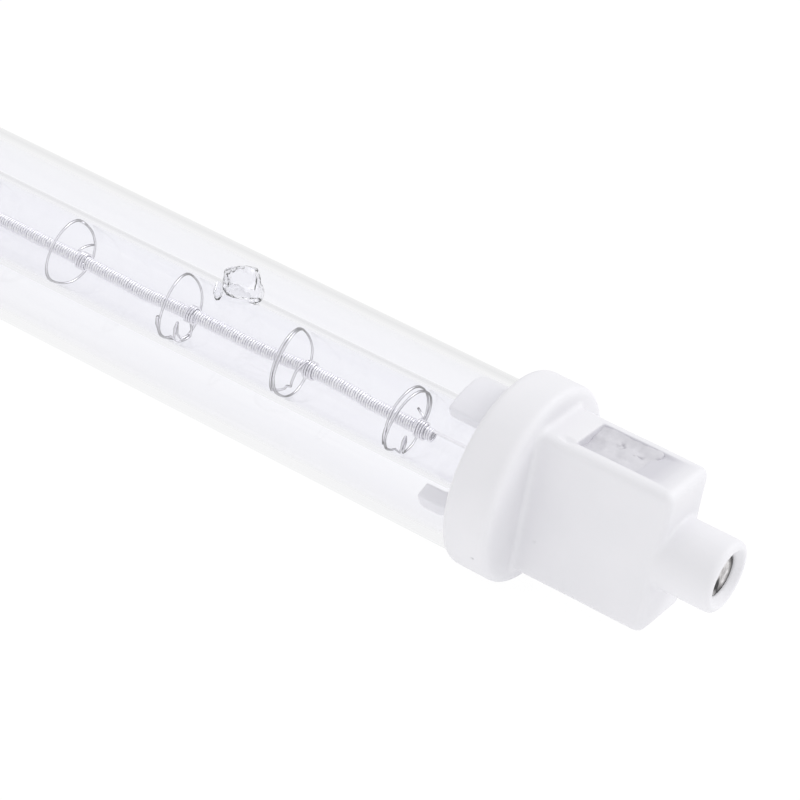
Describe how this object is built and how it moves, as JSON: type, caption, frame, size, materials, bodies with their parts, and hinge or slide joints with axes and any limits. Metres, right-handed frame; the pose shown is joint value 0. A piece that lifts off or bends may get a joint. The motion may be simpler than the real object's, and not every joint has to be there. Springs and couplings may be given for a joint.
{
  "type": "infrared heat lamp",
  "caption": "Tubular infrared heat lamp: a coiled filament in a clear quartz tube, a loose clear quartz jacket round it, and a white ceramic cap with a recessed contact at each end.",
  "frame": {"origin": "the middle of the lamp, on the axis of its lamp tube and caps", "axes": "+X along the lamp towards the cap named right, +Z towards the side of the cap pockets"},
  "size_m": [0.228, 0.0196, 0.0196],
  "materials": {
    "jacket_quartz": "clear, fire polished",
    "lamp_quartz": "clear, fire polished",
    "filament_tungsten": "drawn wire, coiled",
    "support_tungsten": "drawn wire",
    "steatite": "pressed and fired, unglazed",
    "base_cement": "rough, set",
    "contact_steel": "plated, worn",
    "lead_molybdenum": "drawn and rolled"
  },
  "bodies": {
    "root": {"outer_jacket": "jacket_quartz", "inner_envelope": "lamp_quartz", "filament": "filament_tungsten", "support_01": "support_tungsten", "support_02": "support_tungsten", "support_03": "support_tungsten", "support_04": "support_tungsten", "support_05": "support_tungsten", "support_06": "support_tungsten", "support_07": "support_tungsten", "support_08": "support_tungsten", "support_09": "support_tungsten", "support_10": "support_tungsten", "support_11": "support_tungsten", "support_12": "support_tungsten", "support_13": "support_tungsten", "ceramic_cap_right": "steatite", "cement_right": "base_cement", "contact_right": "contact_steel", "outer_lead_right": "lead_molybdenum", "foil_right": "lead_molybdenum", "inner_lead_right": "lead_molybdenum", "ceramic_cap_left": "steatite", "cement_left": "base_cement", "contact_left": "contact_steel", "outer_lead_left": "lead_molybdenum", "foil_left": "lead_molybdenum", "inner_lead_left": "lead_molybdenum"}
  },
  "joints": []
}
